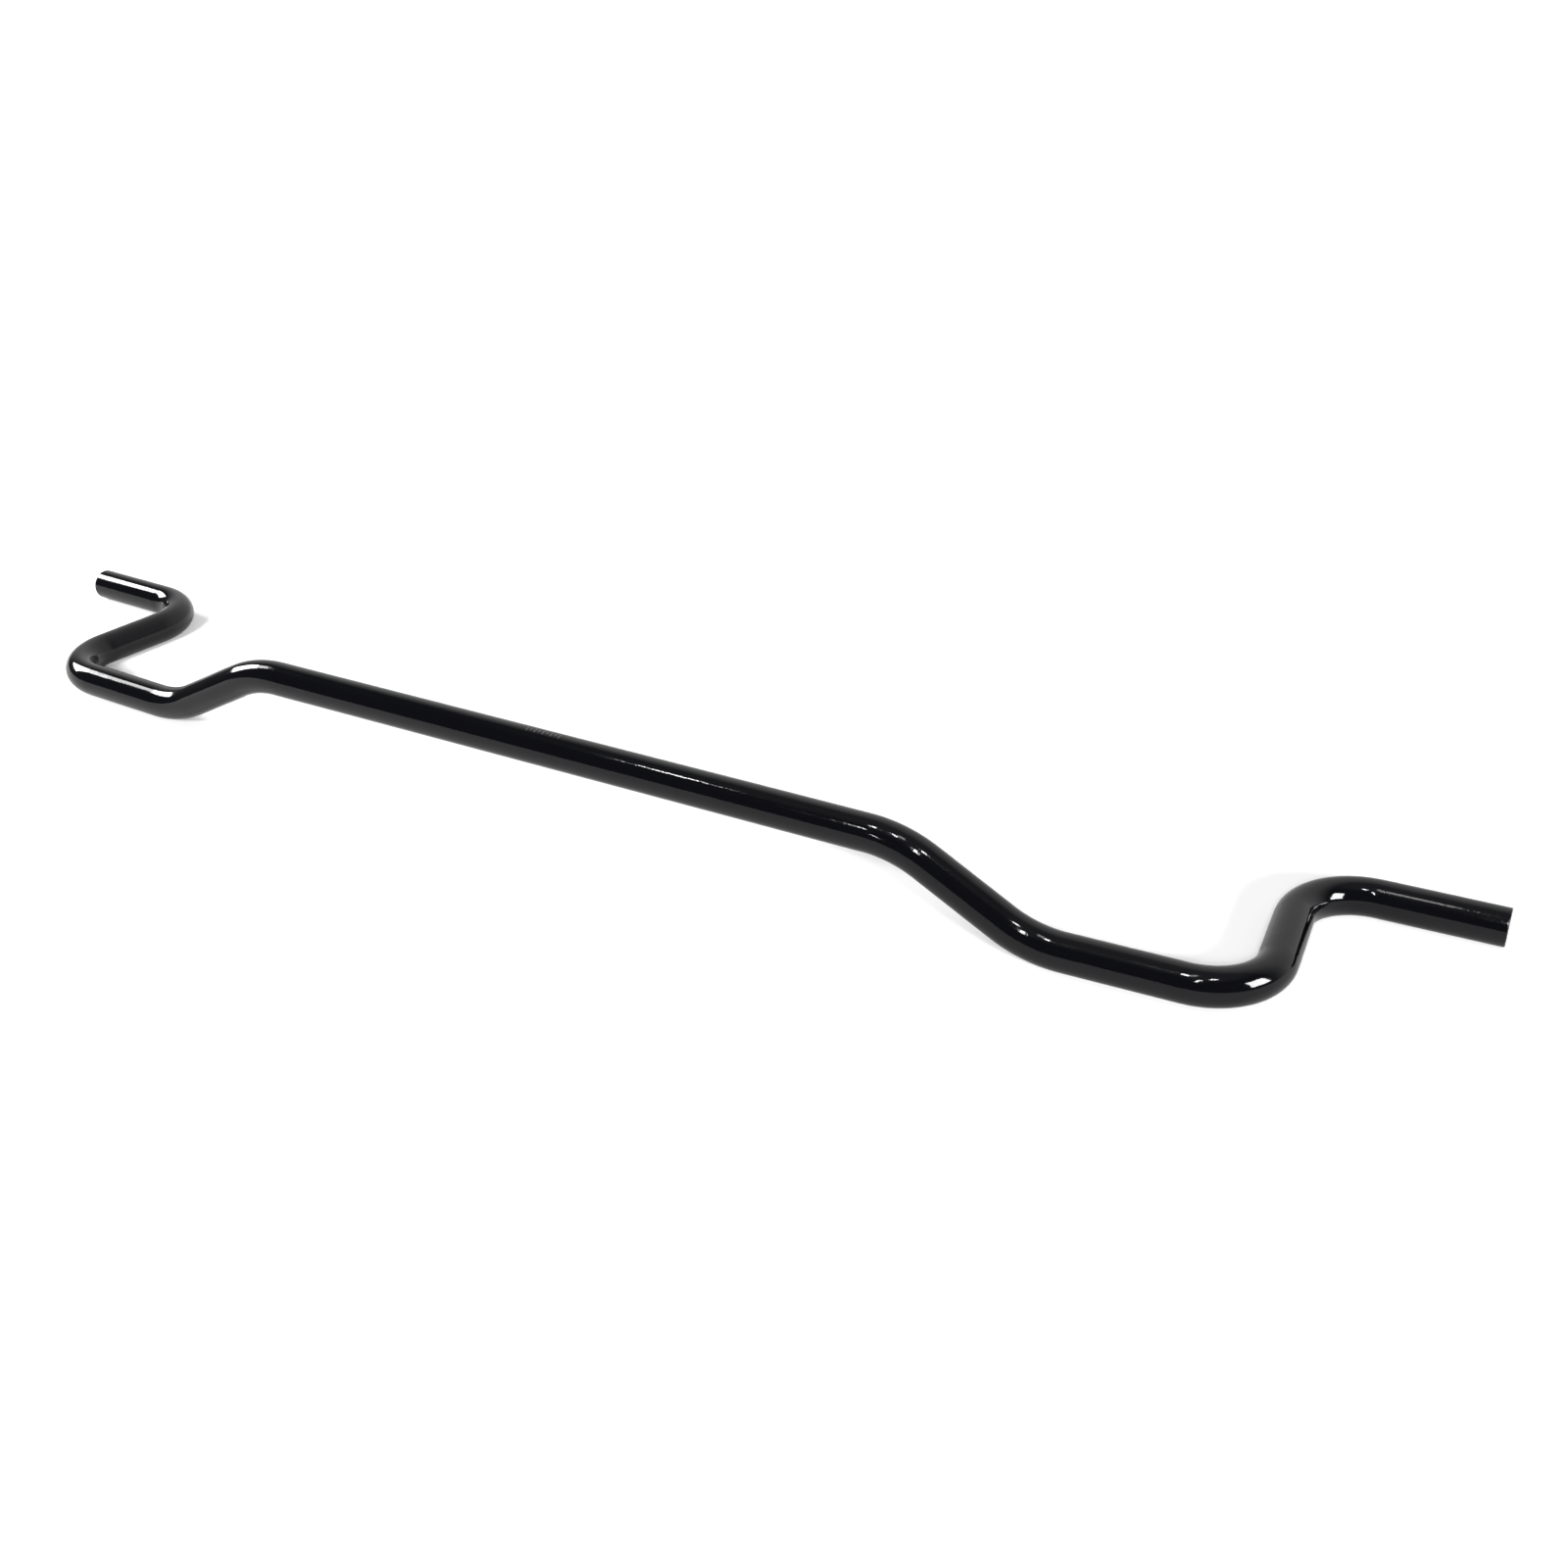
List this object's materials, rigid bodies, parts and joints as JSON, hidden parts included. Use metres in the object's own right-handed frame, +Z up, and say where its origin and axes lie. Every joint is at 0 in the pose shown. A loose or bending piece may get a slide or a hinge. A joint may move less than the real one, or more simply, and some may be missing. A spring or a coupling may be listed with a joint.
{
  "type": "sway bar",
  "caption": "Round steel bar bent into a raised centre span, doglegs, side arms and plain cut end stubs, coated gloss black, that twists along its span to resist body roll.",
  "frame": {"origin": "on the floor that the low stretches, arms and end stubs lie on, below the middle of the part's outline", "axes": "+X along the bar to the right end, +Y from the centre span towards the end stubs, +Z up, the way the centre span is raised"},
  "size_m": [1.2232, 0.1873, 0.0734],
  "materials": {
    "gloss_black_coat": "gloss black powder coat over spring steel, with light orange peel"
  },
  "bodies": {
    "left_half": {"left_bar_half": "gloss_black_coat"},
    "right_half": {"right_bar_half": "gloss_black_coat"}
  },
  "joints": [
    {"name": "bar_twist", "type": "hinge", "parent": "left_half", "child": "right_half", "pos_m": [0, -0.081, 0.0607], "axis": [1, 0, 0], "range_deg": [-20, 20], "stiffness_Nm_per_rad": 3000}
  ]
}
